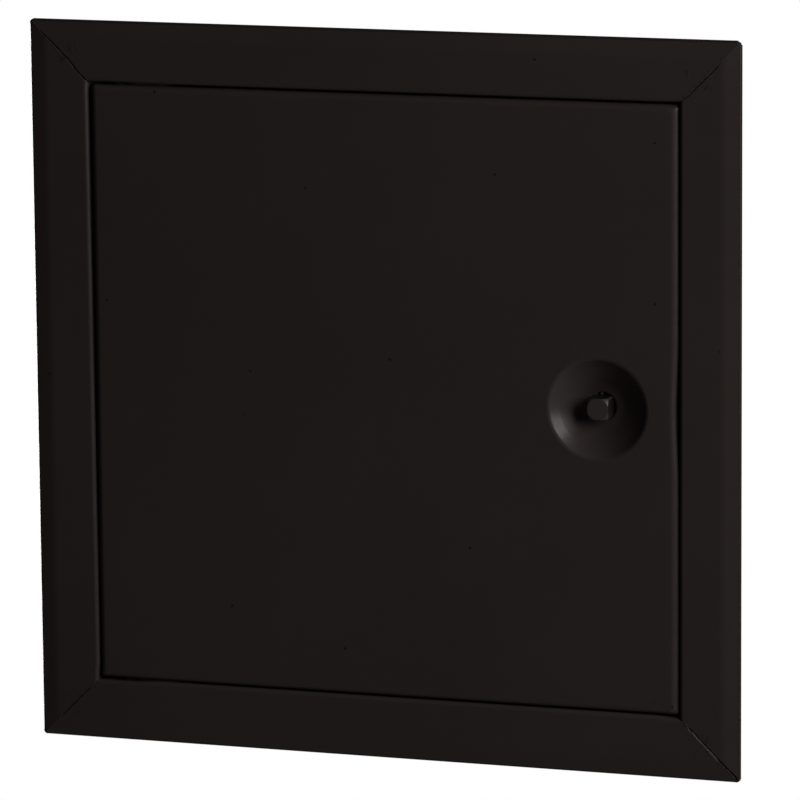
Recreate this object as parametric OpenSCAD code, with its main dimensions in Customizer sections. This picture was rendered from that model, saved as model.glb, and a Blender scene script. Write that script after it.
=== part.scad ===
// Inspection hatch: a square frame of four mitred sheet-steel members that is set
// into a wall, with a flush hinged leaf that is locked by a square key.
// X runs to the right, Y runs into the wall and Z runs up. The origin is the centre
// of the opening, on the wall face that the back of the frame border rests on.

/* [Opening] */
// Clear width between the side walls of the frame
opening_w = 200; // [150:5:500]
// Clear height between the top and bottom walls of the frame
opening_h = 200; // [150:5:500]

/* [Frame] */
// Width of the visible border
border_w = 20; // [18:0.5:35]
// Width of the sloping band along the outer edge of the border
bevel_w = 5.7; // [3:0.1:7]
// How far the sloping band falls back
bevel_drop = 1; // [0.4:0.1:1.4]
// How far the front face stands in front of the wall
face_d = 2.6; // [2.6:0.1:4]
// Depth of the frame walls behind the wall face
wall_depth = 28; // [26:1:80]
// Thickness of the frame sheet
frame_t = 0.8; // [0.6:0.05:1]
// Inside radius of the fold round the opening
frame_fold_r = 0.6; // [0.5:0.1:1.4]
// Open crack in each mitred corner
mitre_gap = 0.2; // [0.05:0.05:0.5]
// Length that is trimmed off the sharp outer tips of the mitres
tip_trim = 1.3; // [0.2:0.1:2]

/* [Corner gussets] */
// Length of each gusset arm from the corner of the opening
gusset_arm = 30; // [20:1:50]
// Thickness of the gusset plates
gusset_t = 0.8; // [0.5:0.1:0.9]
// Margin between a gusset and the folds on both sides of it
gusset_margin = 0.4; // [0.2:0.1:1]
// Cut on the outer corner of each gusset
gusset_chamfer = 4; // [1:0.5:6]

/* [Stop strips] */
// How far the stop ledges reach into the opening
ledge_w = 9; // [7:0.5:12]
// Length of the leg that is welded to the frame wall
stop_leg = 8; // [6:0.5:9]
// Thickness of the stop strips
stop_t = 1; // [0.8:0.1:1.2]
// Inside radius of the fold in the stop strips
stop_fold_r = 0.8; // [0.4:0.1:1.2]
// Clearance between the closed leaf and the stop ledges
stop_gap = 0.3; // [0.2:0.1:0.6]
// Distance from the hinge axis to where the top and bottom strips start
stop_start = 14; // [13:0.5:25]
// Clearance between the ends of neighbouring strips
strip_end_gap = 0.3; // [0.2:0.1:1]

/* [Leaf] */
// Open gap between the leaf and the frame, all round
leaf_gap = 0.9; // [0.8:0.05:1.2]
// Thickness of the leaf sheet
leaf_t = 0.8; // [0.6:0.05:1]
// Inside radius of the folds along the leaf edges
leaf_fold_r = 1.5; // [1:0.1:1.6]
// Depth of the folded leaf edge, front face included
leaf_edge = 11.3; // [11:0.1:14]
// Width of the open seams in the corners of the leaf edge
seam_w = 0.4; // [0.2:0.1:0.8]

/* [Hinge] */
// Distance from the side of the leaf to the hinge axis
hinge_inset = 9; // [8.8:0.1:11]
// Distance from the front face to the hinge axis
hinge_depth = 5; // [4.6:0.1:5.2]
// Diameter of the pin where the leaf turns on it
pin_d = 4; // [3:0.1:4.4]
// Diameter of the pin tenon that is peened through the frame
tenon_d = 3; // [2:0.1:2.8]
// Diameter of the pin head inside the leaf
pin_head_d = 5.6; // [4.8:0.1:5.6]
// Height of the pin head
pin_head_h = 1.2; // [0.8:0.1:2]
// Height of the peened end outside the frame
peen_h = 0.6; // [0.4:0.1:1]
// Diameter of the washers in the hinge gap
hinge_washer_d = 6; // [5.5:0.1:7]
// Endwise play of each hinge washer and of each pin head
hinge_play = 0.2; // [0.1:0.05:0.4]

/* [Pressed dish] */
// Distance from the latch side of the leaf to the lock axis
lock_inset = 26.2; // [26:0.2:40]
// Radius of the dish at the front face, before its edge is broken
dish_r = 16.4; // [15.4:0.1:17]
// Depth of the dish
dish_depth = 6; // [4.5:0.25:6.5]
// Radius of the flat floor of the dish
dish_floor_r = 6.8; // [6.6:0.1:7.5]
// Width of the broken edge round the dish
dish_edge = 0.6; // [0.2:0.1:1]
// Diameter of the hole in the floor of the dish
dish_hole_d = 9.4; // [9.2:0.1:10]

/* [Spindle] */
// Size across the flats of the square for the key
square = 7; // [6:0.5:7]
// Diameter of the round bar that the squares are milled on
bar_d = 9; // [8:0.1:9]
// Diameter of the journal in the bridge
journal_d = 10; // [9.4:0.2:12]
// Diameter of the collar behind the dish
collar_d = 13; // [12.4:0.1:14]
// Thickness of the collar
collar_t = 1.5; // [1:0.1:1.6]
// Diameter of the threaded stud
stud_d = 6; // [5:1:6]
// Cut on the front and rear ends of the spindle
tip_chamfer = 0.9; // [0.2:0.1:0.9]
// Radial clearance of the journal and of the hinge pins
running_clear = 0.05; // [0.03:0.01:0.1]
// Endwise play of the spindle collar
collar_play = 0.05; // [0.03:0.01:0.1]
// Height of the cone spring in front of the collar
spring_h = 0.9; // [0.7:0.05:1]
// Thickness of the cone spring
spring_t = 0.5; // [0.3:0.05:0.5]
// Margin of the cone spring inside the dish floor and round the spindle
spring_margin = 0.3; // [0.2:0.05:0.4]

/* [Lock bridge] */
// Width of the bridge strap
bridge_w = 28; // [28:1:32]
// Thickness of the bridge strap
bridge_t = 1.5; // [1:0.1:1.5]
// Inside radius of the bridge folds
bridge_fold_r = 1; // [0.5:0.1:2]
// Distance from the lock axis to the top of each bridge leg
bridge_web = 21; // [19:0.5:24]
// How far each bridge leg leans outwards
leg_lean = 5; // [2:0.5:8]
// Length of each welded foot
foot_l = 12; // [8:1:16]

/* [Cam] */
// Thickness of the cam
cam_t = 2; // [1.5:0.1:2.5]
// Radius of the cam hub
hub_r = 9; // [8:0.1:9]
// Width of the cam tongue
tongue_w = 12; // [9:0.5:12]
// Cut on the corners and the leading edge of the tongue
tongue_chamfer = 1.2; // [0.5:0.1:1.4]
// Clearance between the cam and the latch ledge
cam_gap = 0.3; // [0.2:0.1:0.6]
// Clearance between the tongue tip and the leg of the latch strip
tip_gap = 0.8; // [0.5:0.1:1.5]
// Width of the stop nose
nose_w = 5; // [4:0.5:6]
// Radius of the end of the stop nose
nose_r = 12.5; // [11.5:0.1:12.8]
// Clearance between the hub and the stop tabs, and length of the tabs past the nose
tab_gap = 0.4; // [0.2:0.1:0.6]
// Width of the window that each tab leaves in the bridge
tab_window = 3; // [2:0.5:4]
// Clearance of the nose at the stop tabs and of the cam on its square
cam_clear = 0.1; // [0.05:0.05:0.2]
// Diameter of the washer under the nut
cam_washer_d = 12; // [10:0.5:13]
// Thickness of the washer under the nut
cam_washer_t = 1; // [0.8:0.1:1.6]
// Size across the flats of the nut
nut_flats = 10; // [8:1:10]
// Height of the nut
nut_h = 5; // [4:0.5:5]
// How far the nut face lies inside the flats
nut_face_in = 0.2; // [0.1:0.1:0.4]
// How far the stud stands out of the nut
stud_proud = 1.5; // [0.8:0.1:3]

/* [Wall anchors and fixings] */
// Length of each bendable wall anchor
anchor_l = 44; // [30:1:44]
// Width of each wall anchor
anchor_w = 13; // [10:0.5:14]
// Thickness of each wall anchor
anchor_t = 1; // [0.8:0.1:1.5]
// Height of the riveted end of each anchor above or below the middle
anchor_start = 12; // [8:1:12]
// Depth of the dovetail cut in the free end
fishtail = 7; // [4:0.5:10]
// Cut on the corners of the riveted end
anchor_chamfer = 2; // [0.5:0.5:4]
// Diameter of the rivet shanks
rivet_d = 4; // [3:0.1:4]
// Diameter of the rivet heads
rivet_head_d = 7; // [5.5:0.1:7]
// Height of the rivet heads
rivet_head_h = 1.2; // [0.8:0.1:1.5]
// Diameter of the screw holes in the side walls
screw_hole_d = 4.5; // [3.5:0.1:5]
// Distance from the top and bottom of the opening to the screw holes
screw_margin = 14; // [12:0.5:15]
// Distance from the rear edge of the frame walls to the screw and rivet holes
rear_margin = 6.8; // [6.5:0.1:7.2]

/* [Hidden] */
$fn = 96;
FOLD_STEPS = 6;
EDGE_RUN = 2;
EPS = 0.01;
BIG = 1;
front = -face_d;
flat_w = border_w - bevel_w;
lip_fold_r = 0.05;
leaf_w = opening_w - 2 * leaf_gap;
leaf_h = opening_h - 2 * leaf_gap;
hinge_x = -leaf_w / 2 + hinge_inset;
hinge_y = front + hinge_depth;
lock_x = leaf_w / 2 - lock_inset;
stop_y = front + leaf_edge + stop_gap;
holes_y = wall_depth - rear_margin;
anchor_rivet_z = anchor_start + anchor_w / 2;
screw_rise = opening_h / 2 - screw_margin;

// Depths along the lock axis, counted from the front face of the leaf
dish_back = dish_depth + leaf_t;
collar_front = dish_back + spring_h + collar_play;
collar_back = collar_front + collar_t;
web_front = collar_back + collar_play;
web_back = web_front + bridge_t;
cam_front = leaf_edge + stop_gap + stop_t + cam_gap;
cam_back = cam_front + cam_t;
seat_back = cam_back - cam_clear;
nut_front = cam_back + cam_washer_t;
stud_end = nut_front + nut_h + stud_proud;

// The ball that the dish is pressed with: its centre lies in front of the leaf
dish_ball_c = (dish_r * dish_r - dish_floor_r * dish_floor_r - dish_depth * dish_depth) / (2 * dish_depth);
dish_ball_r = sqrt(dish_r * dish_r + dish_ball_c * dish_ball_c);
edge_d = dish_edge * (1 + 1 / EDGE_RUN);
cam_reach = opening_w / 2 - stop_t - tip_gap - lock_x;

PAINT = [0.13, 0.113, 0.105];
PAINT_INSIDE = [0.17, 0.15, 0.14];
ZINC = [0.68, 0.69, 0.70];
YELLOW_ZINC = [0.66, 0.58, 0.38];
STEEL = [0.55, 0.56, 0.58];
NYLON = [0.10, 0.10, 0.10];

// Folded sheet: a path is drawn along one face, and the sheet lies to its left
function unit(v) = v / norm(v);
function left_of(v) = [-v[1], v[0]];
function arc_points(c, r, start, sweep) = [
    for (k = [0:FOLD_STEPS])
        let (a = start + sweep * k / FOLD_STEPS) c + r * [cos(a), sin(a)]
];
function fold_points(before, corner, after, r, t, side) =
    let (
        a = unit(corner - before),
        b = unit(after - corner),
        turn = sign(cross(a, b)),
        sweep = turn * acos(a * b),
        centre_off = turn > 0 ? r + t : -r,
        centre = corner + centre_off * (left_of(a) + left_of(b)) / (1 + a * b),
        radius = turn > 0 ? r + t - side : r + side,
        out = -turn * left_of(a)
    )
    arc_points(centre, radius, atan2(out[1], out[0]), sweep);
function face_points(path, radii, t, side) =
    let (last = len(path) - 1)
    concat(
        [path[0] + side * left_of(unit(path[1] - path[0]))],
        [for (i = [1:last - 1]) each fold_points(path[i - 1], path[i], path[i + 1], radii[i - 1], t, side)],
        [path[last] + side * left_of(unit(path[last] - path[last - 1]))]
    );
function reversed(list) = [for (i = [len(list) - 1:-1:0]) list[i]];
function sheet_points(path, radii, t) =
    concat(face_points(path, radii, t, 0), reversed(face_points(path, radii, t, t)));
function swapped(points) = [for (p = points) [p[1], p[0]]];

// Extrudes an outline of (outward, depth) points along X, with its outward side up
module along_x(points, from, to) {
    translate([from, 0, 0]) rotate([90, 0, 90]) linear_extrude(to - from) polygon(swapped(points));
}

// Extrudes an outline of (X, depth) points along Z, centred
module along_z(points, length) {
    linear_extrude(length, center = true) polygon(points);
}

// Stands its children on the lock axis, with Z as the depth behind the leaf face
module on_lock_axis() {
    translate([lock_x, front, 0]) rotate([-90, 0, 0]) children();
}

// Stands its children on the hinge axis at the top edge of the opening, Z outwards
module on_top_hinge() {
    translate([hinge_x, hinge_y, opening_h / 2]) children();
}

module ring(outer_d, inner_d, height) {
    difference() {
        cylinder(d = outer_d, h = height);
        translate([0, 0, -BIG]) cylinder(d = inner_d, h = height + 2 * BIG);
    }
}

// Frame members
frame_path = [[0, wall_depth], [0, front], [flat_w, front], [border_w, front + bevel_drop], [border_w, 0]];
frame_folds = [frame_fold_r, frame_fold_r, lip_fold_r];

// One member lies along X, with its opening edge at Z = 0, both ends mitred and both tips trimmed
module mitred_member(clear_length) {
    start = clear_length / 2 - mitre_gap / sqrt(2);
    tip = clear_length / 2 + border_w - tip_trim;
    intersection() {
        along_x(sheet_points(frame_path, frame_folds, frame_t), -tip, tip);
        translate([0, wall_depth + BIG, 0]) rotate([90, 0, 0])
            linear_extrude(wall_depth + face_d + 2 * BIG)
                polygon([
                    [-start + BIG, -BIG], [start - BIG, -BIG],
                    [start + border_w + BIG, border_w + BIG], [-start - border_w - BIG, border_w + BIG]
                ]);
    }
}

module rail_up() {
    difference() {
        translate([0, 0, opening_h / 2]) mitred_member(opening_w);
        on_top_hinge() translate([0, 0, -BIG]) cylinder(d = tenon_d, h = frame_t + 2 * BIG);
    }
}

module stile_right() {
    difference() {
        translate([opening_w / 2, 0, 0]) rotate([0, 90, 0]) mitred_member(opening_h);
        for (side = [-1, 1]) {
            wall_hole(side * screw_rise, screw_hole_d);
            wall_hole(side * anchor_rivet_z, rivet_d);
        }
    }
}

module wall_hole(z, d) {
    translate([opening_w / 2 - BIG, holes_y, z]) rotate([0, 90, 0]) cylinder(d = d, h = frame_t + 2 * BIG);
}

module frame_top_rail() {
    color(PAINT) rail_up();
}

module frame_bottom_rail() {
    color(PAINT) mirror([0, 0, 1]) rail_up();
}

module frame_right_stile() {
    color(PAINT) stile_right();
}

module frame_left_stile() {
    color(PAINT) mirror([1, 0, 0]) stile_right();
}

// Corner gussets: flat plates that are spot-welded behind the mitred corners
module gusset(x_side, z_side) {
    inner = frame_t + frame_fold_r + gusset_margin;
    outer = flat_w - gusset_margin;
    color(PAINT_INSIDE) scale([x_side, 1, z_side])
        translate([opening_w / 2, front + frame_t + gusset_t, opening_h / 2]) rotate([90, 0, 0])
            linear_extrude(gusset_t) polygon([
                [-gusset_arm, inner], [inner, inner], [inner, -gusset_arm],
                [outer - gusset_chamfer / 2, -gusset_arm], [outer, -gusset_arm + gusset_chamfer / 2],
                [outer, outer - gusset_chamfer], [outer - gusset_chamfer, outer],
                [-gusset_arm + gusset_chamfer / 2, outer], [-gusset_arm, outer - gusset_chamfer / 2]
            ]);
}

// Stop strips: angles that are welded inside the frame, for the leaf to close against
stop_path = [[-ledge_w, stop_y], [0, stop_y], [0, stop_y + stop_leg]];

module stop_strip(from, to) {
    color(PAINT_INSIDE) along_x(sheet_points(stop_path, [stop_fold_r], stop_t), from, to);
}

module stop_strip_top() {
    translate([0, 0, opening_h / 2]) stop_strip(hinge_x + stop_start, opening_w / 2 - strip_end_gap);
}

module stop_strip_bottom() {
    mirror([0, 0, 1]) stop_strip_top();
}

module stop_strip_latch() {
    half = opening_h / 2 - ledge_w - strip_end_gap;
    translate([opening_w / 2, 0, 0]) rotate([0, 90, 0]) stop_strip(-half, half);
}

// Wall anchors: soft steel lugs, delivered flat against the frame walls
module wall_anchor(x_side, z_side) {
    half = anchor_w / 2;
    color(ZINC) scale([x_side, 1, z_side])
        translate([opening_w / 2 + frame_t, holes_y, anchor_start]) rotate([0, 90, 0])
            difference() {
                linear_extrude(anchor_t) polygon([
                    [0, -half + anchor_chamfer], [0, half - anchor_chamfer], [-anchor_chamfer, half],
                    [-anchor_l, half], [-anchor_l + fishtail, 0], [-anchor_l, -half], [-anchor_chamfer, -half]
                ]);
                translate([-half, 0, -BIG]) cylinder(d = rivet_d, h = anchor_t + 2 * BIG);
            }
}

// A domed head: the cap of a ball that stands on the sheet
module rivet_head() {
    ball_r = (rivet_head_d * rivet_head_d / 4 + rivet_head_h * rivet_head_h) / (2 * rivet_head_h);
    rotate_extrude() intersection() {
        translate([0, rivet_head_h - ball_r]) circle(r = ball_r);
        square([rivet_head_d, rivet_head_h]);
    }
}

module anchor_rivet() {
    grip = frame_t + anchor_t;
    mirror([0, 0, 1]) rivet_head();
    cylinder(d = rivet_d, h = grip);
    translate([0, 0, grip]) rivet_head();
}

module anchor_rivets() {
    color(STEEL) for (x_side = [-1, 1], z_side = [-1, 1])
        scale([x_side, 1, z_side]) translate([opening_w / 2, holes_y, anchor_rivet_z]) rotate([0, 90, 0])
            anchor_rivet();
}

// Hinge: two shouldered pins, peened into the frame, that the leaf edges turn on
module hinge_pin_top() {
    shoulder = leaf_gap + leaf_t + hinge_play;
    color(ZINC) on_top_hinge() {
        translate([0, 0, -shoulder - pin_head_h]) cylinder(d1 = pin_d, d2 = pin_head_d, h = pin_head_h);
        translate([0, 0, -shoulder]) cylinder(d = pin_d, h = shoulder);
        cylinder(d = tenon_d, h = frame_t);
        translate([0, 0, frame_t]) cylinder(d1 = pin_d + 2 * peen_h, d2 = pin_d, h = peen_h);
    }
}

module hinge_pin_bottom() {
    mirror([0, 0, 1]) hinge_pin_top();
}

module hinge_washer() {
    color(NYLON) ring(hinge_washer_d, pin_d + 2 * running_clear, leaf_gap - hinge_play);
}

module hinge_washer_top() {
    on_top_hinge() translate([0, 0, -leaf_gap]) hinge_washer();
}

module hinge_washer_bottom() {
    translate([hinge_x, hinge_y, -opening_h / 2]) hinge_washer();
}

// Leaf: a shallow pan with rounded folds and a pressed dish for the key
function pan_path(width, depth) = [
    [-width / 2, front + depth], [-width / 2, front], [width / 2, front], [width / 2, front + depth]
];
function pan_face(width, depth, side) =
    face_points(pan_path(width, depth), [leaf_fold_r, leaf_fold_r], leaf_t, side);

module pan_block(depth, side) {
    intersection() {
        along_z(pan_face(leaf_w, depth, side), leaf_h + BIG);
        along_x(pan_face(leaf_h, depth, side), -leaf_w / 2 - BIG, leaf_w / 2 + BIG);
    }
}

module corner_seams() {
    seam_front = front + leaf_fold_r + leaf_t + seam_w;
    for (x_side = [-1, 1], z_side = [-1, 1])
        translate([x_side * leaf_w / 2, seam_front + leaf_edge / 2, z_side * leaf_h / 2])
            rotate([0, -45 * x_side * z_side, 0]) cube([4 * leaf_t, leaf_edge, seam_w], center = true);
}

// A ball cap of the dish, cut off at a depth, as a solid
module dish_cap(ball_r, from, to) {
    on_lock_axis() rotate_extrude() intersection() {
        translate([0, -dish_ball_c]) circle(r = ball_r);
        translate([0, from]) square([ball_r, to - from]);
    }
}

module door_leaf() {
    color(PAINT) difference() {
        union() {
            difference() {
                pan_block(leaf_edge, 0);
                pan_block(leaf_edge + BIG, leaf_t);
            }
            dish_cap(dish_ball_r + leaf_t, leaf_t / 2, dish_back);
        }
        dish_cap(dish_ball_r, -BIG, dish_depth);
        on_lock_axis() translate([0, 0, -EPS])
            cylinder(r1 = dish_r + dish_edge, r2 = dish_r + dish_edge - EDGE_RUN * edge_d, h = edge_d);
        on_lock_axis() cylinder(d = dish_hole_d, h = dish_back + BIG);
        corner_seams();
        for (z_side = [-1, 1])
            translate([hinge_x, hinge_y, z_side * leaf_h / 2])
                cylinder(d = pin_d + 2 * running_clear, h = 4 * leaf_t, center = true);
    }
}

// Lock bridge: a hat-shaped strap, welded behind the dish, that carries the spindle
bridge_path = [
    [-bridge_web - leg_lean - foot_l, leaf_t], [-bridge_web - leg_lean, leaf_t], [-bridge_web, web_front],
    [bridge_web, web_front], [bridge_web + leg_lean, leaf_t], [bridge_web + leg_lean + foot_l, leaf_t]
];

// A stop tab that is lanced out of the web, with the window that it leaves
module stop_tab(cut) {
    near = nose_w / 2 + cam_clear;
    root = hub_r + tab_gap;
    tab_l = nose_r + tab_gap - root;
    if (cut)
        translate([near + bridge_t, -root - tab_l, web_front - BIG]) cube([tab_window, tab_l, bridge_t + 2 * BIG]);
    else
        translate([near, -root - tab_l, web_back - EPS]) cube([bridge_t, tab_l, cam_back - web_back]);
}

module lock_bridge() {
    color(PAINT_INSIDE) on_lock_axis() difference() {
        union() {
            rotate([90, 0, 90]) linear_extrude(bridge_w, center = true)
                polygon(sheet_points(bridge_path, [for (k = [1:4]) bridge_fold_r], bridge_t));
            stop_tab(false);
            mirror([1, -1, 0]) stop_tab(false);
        }
        stop_tab(true);
        mirror([1, -1, 0]) stop_tab(true);
        translate([0, 0, web_front - BIG])
            cylinder(d = journal_d + 2 * running_clear, h = bridge_t + 2 * BIG);
    }
}

module cone_spring() {
    outer = dish_floor_r - spring_margin;
    inner = bar_d / 2 + spring_margin;
    rise = spring_h - spring_t;
    color(STEEL) on_lock_axis() rotate_extrude() polygon([
        [outer, dish_back], [outer, dish_back + spring_t],
        [inner, dish_back + spring_t + rise], [inner, dish_back + rise]
    ]);
}

// Spindle: round bar with a square at the front for the key and one for the cam
module milled_square(length) {
    intersection() {
        cylinder(d = bar_d, h = length);
        translate([-square / 2, -square / 2, -BIG]) cube([square, square, length + 2 * BIG]);
    }
}

module lock_spindle() {
    color(PAINT) on_lock_axis() {
        intersection() {
            milled_square(collar_front + EPS);
            cylinder(r1 = bar_d / 2 - tip_chamfer, r2 = bar_d / 2 - tip_chamfer + collar_back, h = collar_back);
        }
        translate([0, 0, collar_front]) cylinder(d = collar_d, h = collar_t);
        translate([0, 0, collar_back]) cylinder(d = journal_d, h = cam_front - collar_back);
        translate([0, 0, cam_front - EPS]) milled_square(seat_back - cam_front + EPS);
        translate([0, 0, seat_back - EPS]) cylinder(d = stud_d, h = stud_end - tip_chamfer - seat_back + EPS);
        translate([0, 0, stud_end - tip_chamfer])
            cylinder(d1 = stud_d, d2 = stud_d - 2 * tip_chamfer, h = tip_chamfer);
    }
}

// Cam: hub, tongue and stop nose in one plate, hanging down when unlocked
module lock_cam() {
    half = tongue_w / 2;
    hole = square + 2 * cam_clear;
    color(YELLOW_ZINC) on_lock_axis() translate([0, 0, cam_front]) difference() {
        linear_extrude(cam_t) difference() {
            union() {
                circle(r = hub_r);
                polygon([
                    [-half, 0], [half, 0], [half, cam_reach - tongue_chamfer],
                    [half - tongue_chamfer, cam_reach], [tongue_chamfer - half, cam_reach],
                    [-half, cam_reach - tongue_chamfer]
                ]);
                translate([-nose_w / 2, -nose_r]) square([nose_w, nose_r]);
            }
            square(hole, center = true);
        }
        translate([half, hub_r, 0]) rotate([0, 45, 0])
            translate([-tongue_chamfer / sqrt(2), 0, -tongue_chamfer])
                cube([tongue_chamfer * sqrt(2), cam_reach, 2 * tongue_chamfer]);
    }
}

module cam_washer() {
    color(ZINC) on_lock_axis() translate([0, 0, cam_back]) ring(cam_washer_d, stud_d + 4 * cam_clear, cam_washer_t);
}

module cam_nut() {
    corners_d = nut_flats / cos(30);
    color(ZINC) on_lock_axis() translate([0, 0, nut_front]) difference() {
        intersection() {
            cylinder(d = corners_d, h = nut_h, $fn = 6);
            cylinder(r1 = nut_flats / 2 - nut_face_in + nut_h, r2 = nut_flats / 2 - nut_face_in, h = nut_h);
        }
        translate([0, 0, -BIG]) cylinder(d = stud_d, h = nut_h + 2 * BIG);
    }
}

frame_top_rail();
frame_bottom_rail();
frame_left_stile();
frame_right_stile();
gusset(-1, 1);  // gusset_top_left
gusset(1, 1);  // gusset_top_right
gusset(-1, -1);  // gusset_bottom_left
gusset(1, -1);  // gusset_bottom_right
stop_strip_top();
stop_strip_bottom();
stop_strip_latch();
wall_anchor(-1, 1);  // wall_anchor_upper_left
wall_anchor(-1, -1);  // wall_anchor_lower_left
wall_anchor(1, 1);  // wall_anchor_upper_right
wall_anchor(1, -1);  // wall_anchor_lower_right
anchor_rivets();
hinge_pin_top();
hinge_pin_bottom();
hinge_washer_top();
hinge_washer_bottom();
door_leaf();
lock_bridge();
cone_spring();
lock_spindle();
lock_cam();
cam_washer();
cam_nut();
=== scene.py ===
from collections import namedtuple
from math import asin, cos, pi, radians, sin, sqrt

import bmesh
import bpy
from mathutils import Matrix, Vector


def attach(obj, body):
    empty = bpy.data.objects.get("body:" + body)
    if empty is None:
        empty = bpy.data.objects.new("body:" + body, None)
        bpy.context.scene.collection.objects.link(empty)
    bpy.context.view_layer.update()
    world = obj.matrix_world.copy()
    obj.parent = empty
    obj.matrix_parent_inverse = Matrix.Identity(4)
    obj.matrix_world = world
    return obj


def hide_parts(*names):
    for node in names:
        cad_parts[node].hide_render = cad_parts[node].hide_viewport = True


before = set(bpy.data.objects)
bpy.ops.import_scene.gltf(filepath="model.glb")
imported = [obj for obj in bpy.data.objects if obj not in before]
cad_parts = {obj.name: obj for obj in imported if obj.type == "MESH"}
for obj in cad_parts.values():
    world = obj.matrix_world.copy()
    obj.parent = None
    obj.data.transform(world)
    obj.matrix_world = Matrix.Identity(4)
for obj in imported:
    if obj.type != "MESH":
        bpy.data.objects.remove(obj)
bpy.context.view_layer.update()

MM = 0.001
NEAR = 0.01 * MM         # how far off a corner may be when it is looked for by its place
SNAP = 1e-7              # how far apart two corners may be that an operator takes for one

# Sizes of the hatch, the same as in the model's source
HALF_OPENING = 100 * MM
BORDER_W = 20 * MM
BEVEL_W = 5.7 * MM
BEVEL_DROP = 1 * MM
FRONT = -2.6 * MM
WALL_DEPTH = 28 * MM
SHEET = 0.8 * MM
FRAME_FOLD = 1.4 * MM
MITRE_GAP = 0.2 * MM
TIP_TRIM = 1.3 * MM
HALF_LEAF = 99.1 * MM
LEAF_EDGE = 11.3 * MM
LEAF_FOLD = 2.3 * MM
HINGE_X, HINGE_Y = -90.1 * MM, 2.4 * MM
HINGE_HOLE_R = 2.05 * MM
HINGE_WINDOW = 2.6 * MM
LOCK_X = 72.9 * MM
DISH_R = 16.4 * MM
DISH_DEPTH = 6 * MM
DISH_FLOOR_R = 6.8 * MM
DISH_HOLE_R = 4.7 * MM
DISH_RIM = 0.8 * MM
SQUARE = 7 * MM
BAR_R = 4.5 * MM
SCREW_Z = 86 * MM
SCREW_HOLE_R = 2.25 * MM
SCREW_WINDOW = 3.4 * MM
HOLES_Y = 21.2 * MM
RIVET_Z = 18.5 * MM
RIVET_R = 2 * MM
RIVET_HEAD_R = 3.5 * MM
RIVET_HEAD_H = 1.2 * MM
ANCHOR_T = 1 * MM

# Sizes that only the visible sheet metal has
BORDER_FLAT_W = BORDER_W - BEVEL_W
BEVEL_SLOPE = BEVEL_DROP / BEVEL_W
BEVEL_FOLD = 1.1 * MM
LIP_FOLD = 0.62 * MM
DISH_FLOOR_FOLD = 1.0 * MM
LEAF_CORNER = 1.0 * MM
CUT_EDGE = 0.16 * MM


# Building in sheet metal and bar
def whole(bm):
    return bm.verts[:] + bm.edges[:] + bm.faces[:]


def only(kind, elements):
    return [g for g in elements if isinstance(g, kind)]


def open_chain(points):
    bm = bmesh.new()
    corners = [bm.verts.new(p) for p in points]
    for a, b in zip(corners, corners[1:]):
        bm.edges.new((a, b))
    return bm


def pull(bm, edges, offset):
    corners = only(bmesh.types.BMVert, bmesh.ops.extrude_edge_only(bm, edges=edges)["geom"])
    bmesh.ops.translate(bm, verts=corners, vec=offset)
    return corners


def edges_where(bm, test):
    return [e for e in bm.edges if all(test(v.co) for v in e.verts)]


def round_off(bm, edges, offset, segments):
    bmesh.ops.bevel(bm, geom=edges, offset=offset, offset_type="OFFSET", segments=segments,
                    profile=0.5, affect="EDGES", material=-1, clamp_overlap=False, loop_slide=True)


def score(bm, place, normal, geom):
    """Splits the faces along a plane and keeps both sides"""
    bmesh.ops.bisect_plane(bm, geom=geom, plane_co=place, plane_no=normal, dist=SNAP)


def cut_off(bm, place, outward, fill=False):
    cut = bmesh.ops.bisect_plane(bm, geom=whole(bm), plane_co=place, plane_no=outward,
                                 clear_outer=True, dist=SNAP)["geom_cut"]
    if fill:
        bmesh.ops.edgeloop_fill(bm, edges=only(bmesh.types.BMEdge, cut))


def face_forward(bm):
    """Turns an open sheet's faces so that its largest face looks to the front or outwards"""
    bmesh.ops.recalc_face_normals(bm, faces=bm.faces[:])
    front = max((f for f in bm.faces if abs(f.normal.y) > 0.9), key=lambda f: f.calc_area())
    if front.normal.y > 0:
        bmesh.ops.reverse_faces(bm, faces=bm.faces[:])


def flat_faces(bm, centre, normal):
    return [f for f in bm.faces
            if abs(f.normal.dot(normal)) > 0.999 and abs((f.verts[0].co - centre).dot(normal)) < NEAR]


def subdivided(bm, edges, cuts):
    """All the edges that a row of edges becomes when each is cut a number of times"""
    split = bmesh.ops.subdivide_edges(bm, edges=edges, cuts=cuts)["geom_split"]
    return list(dict.fromkeys(edges + only(bmesh.types.BMEdge, split)))


def bridge_flat(bm, edges, loop, lift):
    """Joins two loops in one plane, of which one is lifted meanwhile, so that they pair up in order"""
    bmesh.ops.translate(bm, verts=loop, vec=lift)
    bmesh.ops.bridge_loops(bm, edges=edges)
    bmesh.ops.translate(bm, verts=loop, vec=-Vector(lift))


def punch(bm, centre, normal, radius, half_window):
    """Opens a round hole in the flat sheet that its centre lies on, by way of a square window"""
    centre, normal = Vector(centre), Vector(normal)
    bm.normal_update()
    turn = Vector((0, 0, 1)).rotation_difference(normal).to_matrix()
    for axis in (turn.col[0], turn.col[1]):
        for side in (-1, 1):
            flats = flat_faces(bm, centre, normal)
            outlines = [v for f in flats for v in f.verts] + [e for f in flats for e in f.edges]
            score(bm, centre + axis * side * half_window, axis, list(dict.fromkeys(outlines)) + flats)
    window = min(flat_faces(bm, centre, normal), key=lambda f: (f.calc_center_median() - centre).length)
    sides = list(window.edges)
    bmesh.ops.delete(bm, geom=[window], context="FACES_ONLY")
    sides = subdivided(bm, sides, 5)
    rim = bmesh.ops.create_circle(bm, segments=24, radius=radius,
                                  matrix=Matrix.Translation(centre) @ turn.to_4x4())["verts"]
    edges = list(dict.fromkeys(sides + [e for v in rim for e in v.link_edges]))
    bridge_flat(bm, edges, rim, normal * MM)


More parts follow.
